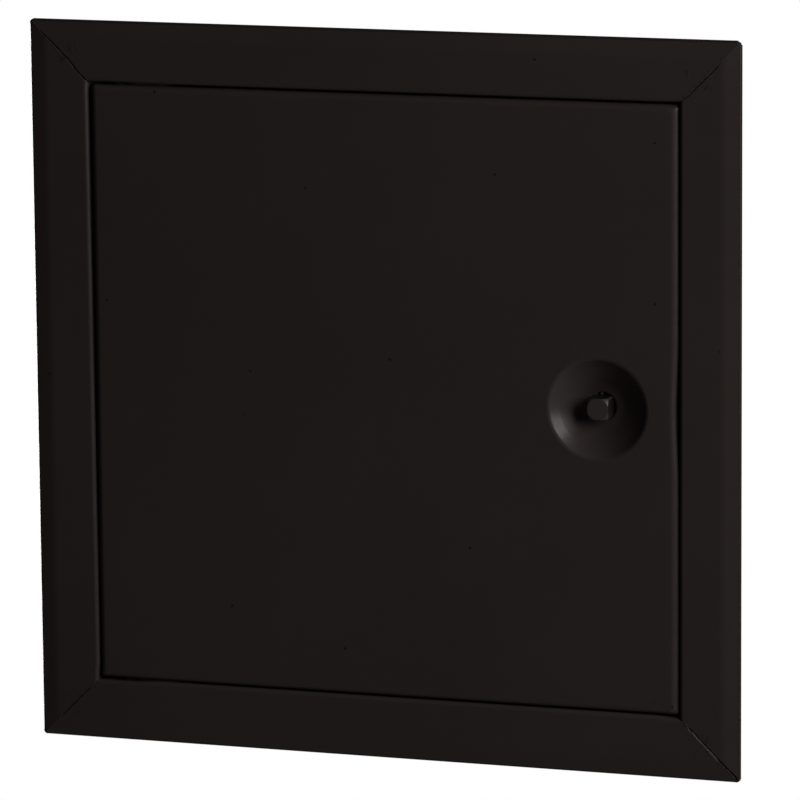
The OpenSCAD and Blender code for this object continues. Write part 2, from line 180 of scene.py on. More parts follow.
def turned(profile, axis_place, segments=64):
    """Spins a chain of (radius, depth) points about an axis that runs in depth"""
    bm = open_chain([Vector(axis_place) + Vector((r, y, 0)) for r, y in profile])
    bmesh.ops.spin(bm, geom=bm.verts[:] + bm.edges[:], cent=axis_place, axis=(0, 1, 0), angle=2 * pi,
                   steps=segments, use_merge=True)
    bmesh.ops.remove_doubles(bm, verts=bm.verts[:], dist=SNAP)
    bmesh.ops.recalc_face_normals(bm, faces=bm.faces[:])
    return bm


def copy_of(node):
    """The mesh of a CAD node as a merged bmesh with whole faces"""
    bm = bmesh.new()
    bm.from_mesh(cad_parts[node].data)
    bmesh.ops.remove_doubles(bm, verts=bm.verts[:], dist=1e-6)
    bmesh.ops.dissolve_limit(bm, angle_limit=radians(0.5), verts=bm.verts[:], edges=bm.edges[:])
    return bm


def fit(bm, name, body, finish, nodes, sheet=0, ease=0):
    """Makes the piece, gives its sheet a thickness, eases its edges and fits it to its body"""
    mesh = bpy.data.meshes.new(name)
    bm.to_mesh(mesh)
    bm.free()
    for face in mesh.polygons:
        face.use_smooth = True
    mesh.set_sharp_from_angle(angle=radians(32))
    mesh.materials.append(finish)
    piece = bpy.data.objects.new(name, mesh)
    bpy.context.scene.collection.objects.link(piece)
    if sheet:
        wall = piece.modifiers.new("sheet", "SOLIDIFY")
        wall.thickness = sheet
        wall.offset = -1
        wall.use_even_offset = True
    if ease:
        soft = piece.modifiers.new("eased_edges", "BEVEL")
        soft.width = ease
        soft.segments = 2
        soft.limit_method = "ANGLE"
        soft.angle_limit = radians(40)
        soft.use_clamp_overlap = False
    flats = piece.modifiers.new("flat_shading", "WEIGHTED_NORMAL")
    flats.keep_sharp = True
    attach(piece, body)
    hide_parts(*nodes)
    return piece


# Finishes
class Finish:
    """A node material on the object's own coordinates"""

    def __init__(self, name, slot, **sockets):
        self.material = bpy.data.materials.new(name)
        self.material.use_nodes = True
        self.material["slot"] = slot
        self.tree = self.material.node_tree
        self.shader = self.tree.nodes["Principled BSDF"]
        for socket, value in sockets.items():
            self.shader.inputs[socket.replace("_", " ")].default_value = value
        self.place = self.add("ShaderNodeTexCoord").outputs["Object"]

    def add(self, kind, inputs=(), **settings):
        node = self.tree.nodes.new(kind)
        for key, value in settings.items():
            setattr(node, key, value)
        for key, value in dict(inputs).items():
            if isinstance(value, bpy.types.NodeSocket):
                self.tree.links.new(value, node.inputs[key])
            else:
                node.inputs[key].default_value = value
        return node

    def coordinates(self):
        return self.add("ShaderNodeSeparateXYZ", {0: self.place}).outputs

    def noise(self, scale, detail=2.0, roughness=0.5):
        return self.add("ShaderNodeTexNoise", {
            "Vector": self.place, "Scale": scale, "Detail": detail, "Roughness": roughness}).outputs["Fac"]

    def cells(self, scale):
        """The distance from the middle of the nearest cell, and a value that each cell has to itself"""
        cell = self.add("ShaderNodeTexVoronoi", {"Vector": self.place, "Scale": scale}).outputs
        return cell["Distance"], self.add("ShaderNodeSeparateColor", {0: cell["Color"]}).outputs[0]

    def maths(self, operation, a, b=0.0):
        return self.add("ShaderNodeMath", {0: a, 1: b}, operation=operation).outputs[0]

    def unsigned(self, value):
        return self.maths("ABSOLUTE", value)

    def ranged(self, value, low, high, to_low, to_high):
        return self.add("ShaderNodeMapRange", {
            0: value, 1: low, 2: high, 3: to_low, 4: to_high}, interpolation_type="SMOOTHSTEP").outputs[0]

    def stretch(self, value, rise, fall):
        """1 between a rise and a fall, each given by where it starts and ends"""
        return self.maths("MULTIPLY", self.ranged(value, *rise, 0, 1), self.ranged(value, *fall, 1, 0))

    def spots(self, spots):
        """1 at each spot, given by its place and the two radii between which it fades out"""
        share = 0.0
        for place, full_r, end_r in spots:
            away = self.add("ShaderNodeVectorMath", {0: self.place, 1: place}, operation="DISTANCE")
            share = self.maths("MAXIMUM", share, self.ranged(away.outputs["Value"], full_r, end_r, 1, 0))
        return share

    def mixed(self, share, under, colour):
        return self.add("ShaderNodeMix", {0: share, 6: under, 7: (*colour, 1)}, data_type="RGBA").outputs[2]

    def ramp(self, value, *stops):
        node = self.add("ShaderNodeValToRGB", {0: value})
        node.color_ramp.elements.remove(node.color_ramp.elements[1])
        for k, (where, colour) in enumerate(stops):
            stop = node.color_ramp.elements[0] if k == 0 else node.color_ramp.elements.new(where)
            stop.position = where
            stop.color = (*colour, 1)
        return node.outputs[0]

    def bump(self, height, distance, under=None):
        inputs = {"Height": height, "Distance": distance, "Strength": 1.0}
        if under:
            inputs["Normal"] = under
        return self.add("ShaderNodeBump", inputs).outputs[0]

    def grain(self, scale, distance, detail=2.0):
        return self.bump(self.noise(scale, detail), distance)

    def rays_seen(self, mirrored):
        """1 for camera rays, and a share for rays that come by way of metal or glass"""
        path = self.add("ShaderNodeLightPath").outputs
        by_way = self.maths("MAXIMUM", path["Is Glossy Ray"], path["Is Transmission Ray"])
        return self.maths("MAXIMUM", path["Is Camera Ray"], self.maths("MULTIPLY", by_way, mirrored))

    def set(self, **sockets):
        for socket, value in sockets.items():
            self.tree.links.new(value, self.shader.inputs[socket.replace("_", " ")])
        return self.material


PAINT = (0.0150, 0.0117, 0.0106)
PEG_PAINT = (0.0175, 0.0138, 0.0127)
SPECK = (0.0040, 0.0032, 0.0030)
# Painted shade, for the outer rim of the border and the crack of the bottom right mitre
PAINTED_SHADE = (0.0030, 0.0026, 0.0024)
# Paler paint for the bottom right mitre, partly worn and partly a painted highlight
WORN_HIGHLIGHT = (0.024, 0.0225, 0.0205)
# The darker colour of the sides of the square peg
PEG_SIDE_TONE = (0.0051, 0.0046, 0.0032)
BARE_STEEL = (0.62, 0.58, 0.47)
# How far the painted shade darkens the outer rim of the border
RIM_SHADE = 0.55

# Across and up, in millimetres: the spatter of the welds behind the border, from the middle of the hatch, and
# the bare spots on the collar, from the axis of the lock and with their radii
WELD_MARKS = [(103.2, 109.2), (109.4, 104.8), (109.3, -105.8), (105.5, -111),
              (-107.3, -112), (-111, -105.5), (-108.2, 107), (-104.6, 110.6)]
COLLAR_SPOTS = [(-3.6, 3.7, 0.4), (-3.0, 3.75, 0.4), (-2.5, 3.85, 0.35), (-0.6, 3.85, 0.42)]
COLLAR_Y = FRONT + 7.75 * MM


def shade(colour, by):
    return tuple(c * by for c in colour)


def past_corner(distance):
    """Across and up added, at a place in a mitre some millimetres past the corner of the opening"""
    return 2 * (HALF_OPENING + distance * MM)


def worn_and_highlit_edge(finish, seam, out):
    """A paler line on the lower side of the bottom right mitre, partly paint worn thin and partly a painted
    highlight along the lit slope
    """
    line = finish.stretch(seam, (-0.45 * MM, -0.15 * MM), (0.10 * MM, 0.30 * MM))
    length = finish.stretch(out, (past_corner(2.4), past_corner(5)), (past_corner(12.6), past_corner(13.6)))
    marked = finish.ranged(finish.noise(650), 0.35, 0.60, 0.35, 1)
    return finish.maths("MULTIPLY", marked, finish.maths("MULTIPLY", line, length))


def shaded_crack(finish, seam, out):
    """Painted shade in the crack of the bottom right mitre, and over its whole edge out on the sloping band
    """
    upper = finish.ranged(seam, 0.80 * MM, 1.05 * MM, 1, 0)
    crack = finish.maths("MULTIPLY", finish.ranged(out, past_corner(3), past_corner(4), 0, 1),
                         finish.ranged(seam, 0.15 * MM, 0.35 * MM, 0, 1))
    band = finish.maths("MULTIPLY", finish.ranged(out, past_corner(13.4), past_corner(14.2), 0, 1),
                        finish.ranged(seam, -0.35 * MM, -0.10 * MM, 0, 1))
    return finish.maths("MULTIPLY", upper, finish.maths("MAXIMUM", crack, band))


def mitre_wear_and_painted_light(finish, colour, relief):
    """Chipped paint beside the seams, painted shade on the outer rim, and at the bottom right mitre a paler
    line that is partly worn paint and partly a painted highlight, with painted shade in its crack
    """
    x, _, z = finish.coordinates()
    across, up = finish.unsigned(x), finish.unsigned(z)
    inner = finish.ranged(finish.maths("ADD", across, up), past_corner(13), past_corner(16), 1, 0)
    from_seam = finish.unsigned(finish.maths("SUBTRACT", across, up))
    by_seam = finish.maths("MULTIPLY", inner, finish.ranged(from_seam, 0.5 * MM, 1.7 * MM, 1, 0))
    flakes = finish.ranged(finish.noise(780, 3, 0.6), 0.52, 0.60, 0, 1)
    chips = finish.maths("MULTIPLY", by_seam, flakes)
    colour = finish.mixed(finish.maths("MULTIPLY", chips, 0.55), colour, shade(PAINT, 0.45))
    relief = finish.bump(chips, 0.05 * MM, relief)
    # Painted shade over the outer rim of the border
    outer_edge = HALF_OPENING + BORDER_W
    rim = finish.ranged(finish.maths("MAXIMUM", across, up),
                        outer_edge - 0.85 * MM, outer_edge - 0.50 * MM, 0, RIM_SHADE)
    colour = finish.mixed(rim, colour, PAINTED_SHADE)
    seam, out = finish.maths("ADD", x, z), finish.maths("SUBTRACT", x, z)
    # A paler line, partly worn paint and partly a painted highlight
    colour = finish.mixed(worn_and_highlit_edge(finish, seam, out), colour, WORN_HIGHLIGHT)
    # Painted shade in the crack of the bottom right mitre
    colour = finish.mixed(shaded_crack(finish, seam, out), colour, PAINTED_SHADE)
    return colour, relief


def weld_spatter(finish, colour, relief):
    """Grit in the paint where the welds behind the border have spattered"""
    marks = finish.spots([((x * MM, FRONT, z * MM), 0.6 * MM, 2.2 * MM) for x, z in WELD_MARKS])
    grit = finish.maths("MULTIPLY", marks, finish.ranged(finish.noise(900), 0.42, 0.62, 0, 1))
    colour = finish.mixed(finish.maths("MULTIPLY", grit, 0.3), colour, SPECK)
    return colour, finish.bump(grit, 0.08 * MM, relief)


def darker_peg_sides(finish, colour, relief):
    """The sides of the square peg, coloured darker, least at their lower end"""
    x, _, z = finish.coordinates()
    reach = finish.maths("MAXIMUM", finish.unsigned(finish.maths("SUBTRACT", x, LOCK_X)), finish.unsigned(z))
    flats = finish.ranged(reach, SQUARE / 2 - 0.10 * MM, SQUARE / 2 - 0.03 * MM, 0, 1)
    marked = finish.maths("MULTIPLY", flats, finish.ranged(z, -3.2 * MM, -0.8 * MM, 0.7, 1))
    return finish.mixed(marked, colour, PEG_SIDE_TONE), relief


def bare_spots(finish, colour, relief):
    """Spots on the front of the collar where the paint is off the steel"""
    bare = finish.spots([((LOCK_X + x * MM, COLLAR_Y, z * MM), 0.7 * r * MM, r * MM)
                         for x, z, r in COLLAR_SPOTS])
    finish.set(Metallic=bare)
    return finish.mixed(bare, colour, BARE_STEEL), relief


def brown_paint(name, *layers, tone=PAINT):
    """Satin paint with dark specks and orange peel; each layer, of worn marks or of painted shade and
    highlight, adds to its colour and its relief
    """
    finish = Finish(name, "brown_paint", Specular_IOR_Level=0.085)
    colour = finish.ramp(finish.noise(11, 4, 0.55), (0.3, shade(tone, 0.93)), (0.7, shade(tone, 1.07)))
    away, own = finish.cells(85)
    specks = finish.maths("MULTIPLY", finish.ranged(away, 0.028, 0.046, 1, 0),
                          finish.ranged(own, 0.15, 0.17, 0, 1))
    colour = finish.mixed(specks, colour, SPECK)
    relief = finish.bump(specks, 0.03 * MM, finish.grain(620, 0.012 * MM, 1.5))
    for add_layer in layers:
        colour, relief = add_layer(finish, colour, relief)
    rough = finish.ranged(finish.noise(300, 3), 0.3, 0.7, 0.32, 0.40)
    return finish.set(Base_Color=colour, Roughness=rough, Normal=relief)


def galvanised_sheet():
    finish = Finish("galvanised_sheet", "galvanised", Metallic=1.0)
    _, spangle = finish.cells(240)
    grey = finish.maths("ADD", finish.maths("MULTIPLY", spangle, 0.6),
                        finish.maths("MULTIPLY", finish.noise(60, 4), 0.4))
    colour = finish.ramp(grey, (0.15, (0.46, 0.48, 0.50)), (0.9, (0.58, 0.60, 0.62)))
    rough = finish.ranged(spangle, 0, 1, 0.40, 0.48)
    return finish.set(Base_Color=colour, Roughness=rough, Normal=finish.grain(900, 0.006 * MM))


def bright_metal(name, slot, low, high, rough_low, rough_high):
    finish = Finish(name, slot, Metallic=1.0)
    colour = finish.ramp(finish.noise(240, 4, 0.6), (0.3, low), (0.7, high))
    rough = finish.ranged(finish.noise(960), 0.3, 0.7, rough_low, rough_high)
    return finish.set(Base_Color=colour, Roughness=rough, Normal=finish.grain(1500, 0.003 * MM))


def yellow_zinc_plate():
    finish = Finish("yellow_zinc_plate", "yellow_zinc", Metallic=1.0)
    blotch = finish.noise(150, 5, 0.65)
    colour = finish.ramp(blotch, (0.28, (0.58, 0.47, 0.25)), (0.45, (0.63, 0.51, 0.23)),
                         (0.6, (0.62, 0.54, 0.27)), (0.75, (0.60, 0.46, 0.28)))
    rough = finish.ranged(finish.noise(500, 3), 0.3, 0.7, 0.22, 0.36)
    return finish.set(Base_Color=colour, Roughness=rough, Normal=finish.grain(1300, 0.004 * MM))


def nylon():
    finish = Finish("black_nylon", "black_nylon", Roughness=0.7, Specular_IOR_Level=0.05)
    colour = finish.ramp(finish.noise(700, 3), (0.3, (0.004, 0.004, 0.004)), (0.7, (0.006, 0.006, 0.006)))
    return finish.set(Base_Color=colour, Normal=finish.grain(900, 0.01 * MM))


# The frame's paint carries painted shade and a painted highlight along with its chips and spatter
frame_paint = brown_paint("frame_paint", mitre_wear_and_painted_light, weld_spatter)
leaf_paint = brown_paint("leaf_paint")
collar_paint = brown_paint("collar_paint", bare_spots)
peg_paint = brown_paint("peg_paint", darker_peg_sides, tone=PEG_PAINT)
inside_paint = brown_paint("inside_paint")
galvanised = galvanised_sheet()
zinc_plate = bright_metal("bright_zinc_plate", "zinc_plate", (0.60, 0.62, 0.65), (0.72, 0.74, 0.76),
                          0.24, 0.38)
yellow_zinc = yellow_zinc_plate()
black_nylon = nylon()
spring_steel = bright_metal("spring_steel", "bright_steel", (0.44, 0.43, 0.42), (0.56, 0.55, 0.54),
                            0.25, 0.36)


# Frame
# The mitres, clockwise from the top right. Along each seam, in millimetres from the corner of the opening:
# - the weld has cracked open from opens to closes, as wide as gape and as deep as depth
# - the side to the right or below has worn to a lit slope from lit_from to lit_to
# - the seam lies beside the diagonal by lean from lean_from to lean_to
# The weld that fills the notch between the two tips has the radius weld_r.
Mitre = namedtuple("Mitre", "corner turns opens closes gape depth "
                            "lit_from lit_to weld_r lean lean_from lean_to", defaults=(0, 0, 1.3, 0, 0, 0))
MITRES = [Mitre("top_right", 0, 0.7, 13, 0.08, 0.4, weld_r=0.95, lean=0.5, lean_from=1.6, lean_to=13),
          Mitre("bottom_right", 90, 3.0, 22, 0.16, 0.4, 3.2, 13.2, lean=-0.36, lean_from=2.2, lean_to=30),
          Mitre("bottom_left", 180, 3.2, 13, 0.08, 0.4),
          Mitre("top_left", 270, 0.7, 16, 0.13, 0.5, lean=0.42, lean_from=5, lean_to=14.5)]
LIT_SLOPE_W = 0.3 * MM
LIT_ENDS = 1.5 * MM
SOUND_FOLD = 0.6 * MM

# The stretch in which a member's wall leans into the opening, and its lean at both ends, in millimetres
LEANS = {"top_rail": (-78, 92, 0.2, 0.2),
         "bottom_rail": (-92, 78, 0.53, 0.53),
         "left_stile": (-94, 92, 0.6, 0.06)}
LEAN_RAMP = 8 * MM
LEAN_BEND_Y = 3 * MM
LEAN_BELOW_FOLD = 0.4


def fade(value, place, width):
    """Rises smoothly from 0 to 1 round a place"""
    t = min(1, max(0, (value - place) / width + 0.5))
    return t * t * (3 - 2 * t)


def between(value, low, high, width):
    return fade(value, low, width) * (1 - fade(value, high, width))


def cracked_open(mitre, along):
    return between(along, mitre.opens * MM, mitre.closes * MM, MM)


def lit(mitre, along):
    return between(along, mitre.lit_from * MM, mitre.lit_to * MM, LIT_ENDS) if mitre.lit_to else 0


def leaning(mitre, along):
    """How far the seam lies beside the diagonal, where the mitre was cut by hand"""
    return mitre.lean * MM * between(along, mitre.lean_from * MM, mitre.lean_to * MM, 2 * MM)


def drawn_back(mitre, side, along):
    """How far the edge of the sheet has drawn back from the diagonal on one side"""
    wobble = 1 + 0.25 * sin(along / (0.55 * MM)) + 0.2 * sin(along / (0.23 * MM) + side)
    worn = mitre.gape * MM * wobble * cracked_open(mitre, along)
    if side < 0:
        worn += LIT_SLOPE_W * lit(mitre, along)
    return worn - side * leaning(mitre, along)


def mitre_end(bm, side, mitre):
    """Cuts one end of a member on the diagonal, trims its tip and wears the edge of the sheet at the seam"""
    start = HALF_OPENING - MITRE_GAP / sqrt(2)
    cut_off(bm, (side * start, 0, 0), (side, 0, -1))
    cut_off(bm, (side * (HALF_OPENING + BORDER_W - TIP_TRIM), 0, 0), (side, 0, 0))

    def on_seam(p):
        return abs(side * p.x - start - p.z) < NEAR

    long_edges = [e for e in edges_where(bm, on_seam) if abs(e.verts[0].co.z - e.verts[1].co.z) > MM]
    bmesh.ops.subdivide_edges(bm, edges=long_edges, cuts=40)
    for v in bm.verts:
        if on_seam(v.co) and v.co.z > SOUND_FOLD:
            v.co.x -= side * drawn_back(mitre, side, v.co.z) * sqrt(2)


def border_member(turns):
    """One folded member along X, its opening edge at Z = 0, with both ends mitred and both tips trimmed"""
    reach = HALF_OPENING + BORDER_W + 5 * MM
    bm = open_chain([(-reach, WALL_DEPTH, 0), (-reach, FRONT, 0), (-reach, FRONT, BORDER_FLAT_W),
                     (-reach, FRONT + BEVEL_DROP, BORDER_W), (-reach, 0, BORDER_W)])
    pull(bm, bm.edges[:], (2 * reach, 0, 0))
    for y, z, offset, segments in ((FRONT, 0, FRAME_FOLD, 8), (FRONT, BORDER_FLAT_W, BEVEL_FOLD, 5),
                                   (FRONT + BEVEL_DROP, BORDER_W, LIP_FOLD, 5)):
        line = edges_where(bm, lambda p: abs(p.y - y) < NEAR and abs(p.z - z) < NEAR)
        round_off(bm, line, offset, segments)
    for side, corner_turns in ((-1, turns - 90), (1, turns)):
        mitre_end(bm, side, next(m for m in MITRES if (m.turns - corner_turns) % 360 == 0))
    return bm


def lean_in(bm, start, end, low, high):
    """Leans the wall into the opening between two places, most at its fold, which comes nearer to the leaf"""
    ramps = [x for x in (start - LEAN_RAMP, start, end, end + LEAN_RAMP) if abs(x) < HALF_OPENING - MM]
    for x in ramps:
        score(bm, (x, 0, 0), (1, 0, 0), whole(bm))
    score(bm, (0, LEAN_BEND_Y, 0), (0, 1, 0), whole(bm))
    for v in bm.verts:
        on_wall = v.co.z < FRAME_FOLD + NEAR and v.co.y < LEAN_BEND_Y + NEAR
        if on_wall and start - NEAR < v.co.x < end + NEAR:
            lean = low + (high - low) * (v.co.x - start) / (end - start)
            v.co.z -= lean if v.co.y < FRONT + FRAME_FOLD + NEAR else LEAN_BELOW_FOLD * lean


def place_member(bm, turns):
    place = Matrix.Rotation(radians(turns), 4, "Y") @ Matrix.Translation((0, 0, HALF_OPENING))
    bmesh.ops.transform(bm, matrix=place, verts=bm.verts[:])
    face_forward(bm)


for name, turns in (("top_rail", 0), ("bottom_rail", 180), ("right_stile", 90), ("left_stile", -90)):
    member = border_member(turns)
    if name.endswith("stile"):
        for x in (-SCREW_Z, SCREW_Z):
            punch(member, (x, HOLES_Y, 0), (0, 0, 1), SCREW_HOLE_R, SCREW_WINDOW)
    if name in LEANS:
        lean_in(member, *(lean * MM for lean in LEANS[name]))
    place_member(member, turns)
    fit(member, name, "frame", frame_paint, ["frame_" + name], sheet=SHEET, ease=CUT_EDGE)


# Welds in the mitres: a strip in each seam, sunk below the sheet where the seam has cracked open
WELD_HALF_W = 0.5 * MM
WELD_BACKING = 1.3 * MM
WELD_T = 0.5 * MM
WELD_PROUD = 0.004 * MM
WELD_EDGE = 0.04 * MM
WELD_OVERLAP = 0.4 * MM


def weld_strip():
    """The strip follows the section of the border, from the wall behind the opening edge out to the tip"""
    end = BORDER_W - TIP_TRIM + WELD_OVERLAP
    bm = open_chain([(0, WALL_DEPTH - MM, 0), (0, FRONT, 0), (BORDER_FLAT_W, FRONT, 0),
                     (end, FRONT + BEVEL_SLOPE * (end - BORDER_FLAT_W), 0)])
    pull(bm, bm.edges[:], (0, 0, WELD_HALF_W))
    pull(bm, edges_where(bm, lambda p: abs(p.z) < NEAR), (0, 0, -WELD_HALF_W))
    for x, offset, segments in ((0, FRAME_FOLD, 8), (BORDER_FLAT_W, BEVEL_FOLD, 5)):
        fold = edges_where(bm, lambda p: abs(p.x - x) < NEAR and abs(p.y - FRONT) < NEAR)
        round_off(bm, fold, offset, segments)
    lengths = [(e, e.verts[0].co - e.verts[1].co) for e in bm.edges]
    along = [e for e, length in lengths if abs(length.x) > MM and abs(length.z) < NEAR]
    bmesh.ops.subdivide_edges(bm, edges=along, cuts=24, use_grid_fill=True)
    face_forward(bm)
    return bm


def mitre_weld(mitre):
    bm = weld_strip()
    bm.normal_update()
    for v in bm.verts:
        raised = lit(mitre, v.co.x) if v.co.z < -NEAR else 0
        v.co -= v.normal * (mitre.depth * MM * cracked_open(mitre, v.co.x) * (1 - raised) - WELD_PROUD)
        v.co.y += BEVEL_SLOPE * abs(v.co.z) / sqrt(2) * fade(v.co.x, BORDER_FLAT_W, 2 * MM)
        if v.co.x < MM:
            v.co.z *= WELD_BACKING / WELD_HALF_W
        v.co.z -= leaning(mitre, v.co.x)
    stretch = Matrix.Diagonal((sqrt(2), 1, 1, 1))
    lay = Matrix.Translation((HALF_OPENING, 0, HALF_OPENING)) @ Matrix.Rotation(-pi / 4, 4, "Y") @ stretch
    bmesh.ops.transform(bm, matrix=Matrix.Rotation(radians(mitre.turns), 4, "Y") @ lay, verts=bm.verts[:])
    return bm


def corner_weld(mitre):
    """Fills and rounds the notch between the two trimmed tips"""
    tip = BORDER_W - TIP_TRIM
    top = FRONT + BEVEL_SLOPE * (tip - BORDER_FLAT_W)
    reach = mitre.weld_r * MM
    profile = [(0, top), (0.5 * reach, top + 0.5 * BEVEL_SLOPE * reach),
               (0.8 * reach, top + 0.8 * BEVEL_SLOPE * reach + 0.06 * MM),
               (0.95 * reach, top + 0.4 * MM), (reach, top + 0.8 * MM), (reach, 0), (0, 0)]
    bm = turned(profile, (HALF_OPENING + tip, 0, HALF_OPENING + tip), 32)
    bmesh.ops.transform(bm, matrix=Matrix.Rotation(radians(mitre.turns), 4, "Y"), verts=bm.verts[:])
    return bm


for mitre in MITRES:
    fit(mitre_weld(mitre), "mitre_weld_" + mitre.corner, "frame", frame_paint, [],
        sheet=WELD_T, ease=WELD_EDGE)
    fit(corner_weld(mitre), "corner_weld_" + mitre.corner, "frame", frame_paint, [])


# Leaf: a sheet with a pressed dish, folded back along its four sides
LOCK_AXIS = Vector((LOCK_X, FRONT, 0))
DISH_FIELD = 22 * MM

# The latch edge stands out a little and draws in beside the lock, all within a band along that edge
LATCH_OUT = 0.72 * MM
LATCH_BOW = 0.87 * MM
LATCH_BOW_REACH = 26 * MM
LATCH_BAND = 4 * MM


def dish():
    """A piece of a ball with a flat floor and a hole in it, with the edges of its rim and of its floor"""
    ball_c = (DISH_R ** 2 - DISH_FLOOR_R ** 2 - DISH_DEPTH ** 2) / (2 * DISH_DEPTH)
    ball_r = sqrt(DISH_R ** 2 + ball_c ** 2)
    bm = bmesh.new()
    pose = Matrix.Translation(LOCK_AXIS - Vector((0, ball_c, 0))) @ Matrix.Rotation(pi / 2, 4, "X")
    bmesh.ops.create_uvsphere(bm, u_segments=96, v_segments=34, radius=ball_r, matrix=pose)
    cut_off(bm, LOCK_AXIS, (0, -1, 0))
    cut_off(bm, LOCK_AXIS + Vector((0, DISH_DEPTH, 0)), (0, 1, 0))
    floor_rim = edges_where(bm, lambda p: abs(p.y - FRONT - DISH_DEPTH) < NEAR)
    hole = pull(bm, floor_rim, (0, 0, 0))
    bmesh.ops.scale(bm, verts=hole, vec=(DISH_HOLE_R / DISH_FLOOR_R, 1, DISH_HOLE_R / DISH_FLOOR_R),
                    space=Matrix.Translation(-LOCK_AXIS))
    return bm, edges_where(bm, lambda p: abs(p.y - FRONT) < NEAR), floor_rim


def widen(bm, axis, start, end, steps):
    """Pulls the edge of the flat sheet at one place along an axis out to another place, in even steps"""
    step = Vector((0, 0, 0))
    step[axis] = (end - start) / steps
    for k in range(steps):
        edge = start + k * step[axis]
        pull(bm, edges_where(bm, lambda p: abs(p[axis] - edge) < NEAR), step)


def pressed_sheet():
    bm, rim, floor_rim = dish()
    upright = Matrix.Rotation(pi / 2, 4, "X") @ Matrix.Rotation(pi / 4, 4, "Z")
    square = bmesh.ops.create_circle(bm, segments=4, radius=DISH_FIELD * sqrt(2),
                                     matrix=Matrix.Translation(LOCK_AXIS) @ upright)["verts"]
    sides = subdivided(bm, list(dict.fromkeys(e for v in square for e in v.link_edges)), 23)
    bridge_flat(bm, rim + sides, list(dict.fromkeys(v for e in sides for v in e.verts)), (0, -10 * MM, 0))
    widen(bm, 0, LOCK_X - DISH_FIELD, -HALF_LEAF, 12)
    widen(bm, 0, LOCK_X + DISH_FIELD, HALF_LEAF, 1)
    for side in (-1, 1):
        widen(bm, 2, side * DISH_FIELD, side * HALF_LEAF, 5)
    return bm, rim, floor_rim


def at_leaf_edge(p):
    return max(abs(p.x), abs(p.z)) > HALF_LEAF - NEAR


def at_leaf_corner(p):
    return abs(abs(p.x) - abs(p.z)) < NEAR and abs(p.x) > HALF_LEAF - LEAF_FOLD + NEAR


def open_corners(bm):
    """Takes the sheet out of each corner behind its fold, where the sides of the leaf meet without a weld"""
    seam_start = FRONT + 2.7 * MM
    score(bm, (0, seam_start, 0), (0, 1, 0), whole(bm))
    middles = [(f, f.calc_center_median()) for f in bm.faces]
    seam = [f for f, middle in middles
            if middle.y > seam_start and abs(abs(middle.x) - abs(middle.z)) < 0.05 * MM
            and abs(middle.x) > HALF_LEAF - 1.5 * MM]
    bmesh.ops.delete(bm, geom=seam, context="FACES")


def bow_latch_edge(bm):
    for v in bm.verts:
        share = (v.co.x - HALF_LEAF + LATCH_BAND) / LATCH_BAND
        if share > 0:
            beside_lock = (1 + cos(pi * min(1, abs(v.co.z) / LATCH_BOW_REACH))) / 2
            v.co.x += share * (LATCH_OUT - LATCH_BOW * beside_lock)


def folded_leaf():
    bm, rim, floor_rim = pressed_sheet()
    pull(bm, [e for e in edges_where(bm, at_leaf_edge) if e.is_boundary], (0, LEAF_EDGE, 0))
    folds = edges_where(bm, lambda p: abs(p.y - FRONT) < NEAR and at_leaf_edge(p))
    round_off(bm, folds, LEAF_FOLD, 8)
    round_off(bm, rim, DISH_RIM, 6)
    round_off(bm, floor_rim, DISH_FLOOR_FOLD, 3)
    for side in (-1, 1):
        punch(bm, (HINGE_X, HINGE_Y, side * HALF_LEAF), (0, 0, 1), HINGE_HOLE_R, HINGE_WINDOW)
    round_off(bm, edges_where(bm, at_leaf_corner), LEAF_CORNER, 3)
    open_corners(bm)
    bow_latch_edge(bm)
    face_forward(bm)
    return bm


fit(folded_leaf(), "leaf_pan", "leaf", leaf_paint, ["door_leaf"], sheet=SHEET, ease=CUT_EDGE)


# Lock: its turned pieces, each from the radius and the distance behind the front, in millimetres
COLLAR = [(0, 7.75), (6.2, 7.75), (6.5, 8.05), (6.5, 8.95), (6.2, 9.25), (0, 9.25)]
JOURNAL = [(0, 9.2), (5, 9.2), (5, 12.6), (4.8, 12.9), (0, 12.9)]


def on_lock_axis(profile, segments=64):
    return turned([(r * MM, d * MM) for r, d in profile], LOCK_AXIS, segments)


def milled_square(profile):
    bm = on_lock_axis(profile)
    for across in ((1, 0, 0), (-1, 0, 0), (0, 0, 1), (0, 0, -1)):
        flat = Vector(across) * SQUARE / 2
        cut_off(bm, LOCK_AXIS + flat, flat, fill=True)
    return bm


def threaded_stud():
    root_r, crest_r, first, pitch, turns = 2.5, 3, 15, 1, 7
    profile = [(0, 14.6), (2.55, 14.6)]
    for k in range(turns):
        start = first + k * pitch
        profile += [(crest_r, start), (crest_r, start + 0.12), (root_r, start + 0.5), (root_r, start + 0.6)]
    return on_lock_axis(profile + [(2.4, 21.6), (2.1, 22.4), (0, 22.4)], 48)


bar = BAR_R / MM
peg = milled_square([(0, 0), (3.55, 0), (bar, 0.85), (bar, 7.8), (0, 7.8)])
seat = milled_square([(0, 12.85), (bar, 12.85), (bar, 14.8), (0, 14.8)])
fit(peg, "key_square", "cam", peg_paint, ["lock_spindle"], ease=0.1 * MM)
fit(seat, "cam_square", "cam", zinc_plate, [], ease=0.15 * MM)
fit(on_lock_axis(COLLAR), "spindle_collar", "cam", collar_paint, [])
fit(on_lock_axis(JOURNAL), "spindle_journal", "cam", zinc_plate, [])
fit(threaded_stud(), "spindle_thread", "cam", zinc_plate, [])


